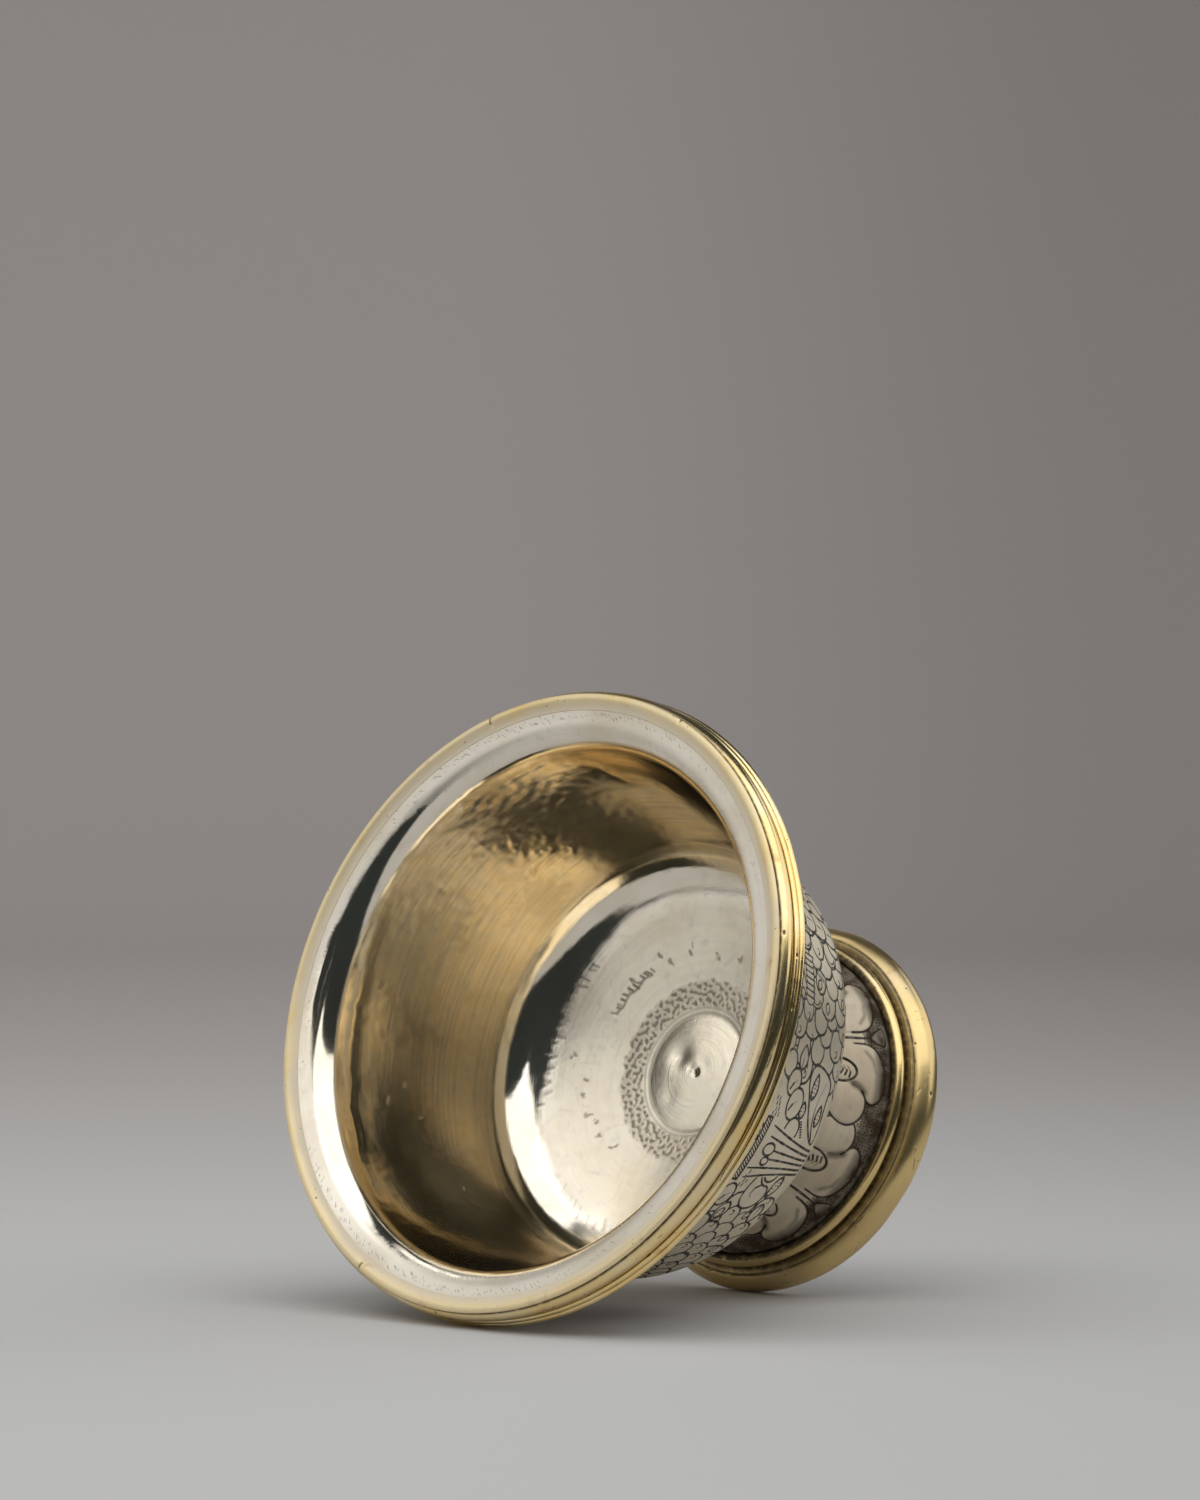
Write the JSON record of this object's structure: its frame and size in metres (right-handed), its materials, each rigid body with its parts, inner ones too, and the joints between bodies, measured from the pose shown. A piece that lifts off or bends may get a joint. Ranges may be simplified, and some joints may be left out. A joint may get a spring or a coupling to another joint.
{
  "type": "footed offering bowl",
  "caption": "Footed metal offering bowl: a dished cup with a broad turned-out lip, gilt reeded rim moulding, lotus-chased hollow foot and gilt foot ring.",
  "frame": {"origin": "centre of the flat sole under the foot ring, on the bowl's axis", "axes": "+Z along the bowl's axis from the foot to the mouth; X and Y lie in the plane the foot stands on"},
  "size_m": [0.102, 0.102, 0.069],
  "materials": {
    "silver": "worn polished silver with blackened engraving and old gilding inside the cup",
    "gilt": "worn bright yellow gilding, darker in the grooves"
  },
  "bodies": {
    "root": {"cup": "silver", "rim_bead": "gilt", "rim_moulding": "gilt", "foot_skirt": "silver", "foot_bead": "gilt", "foot_ring": "gilt"}
  },
  "joints": []
}
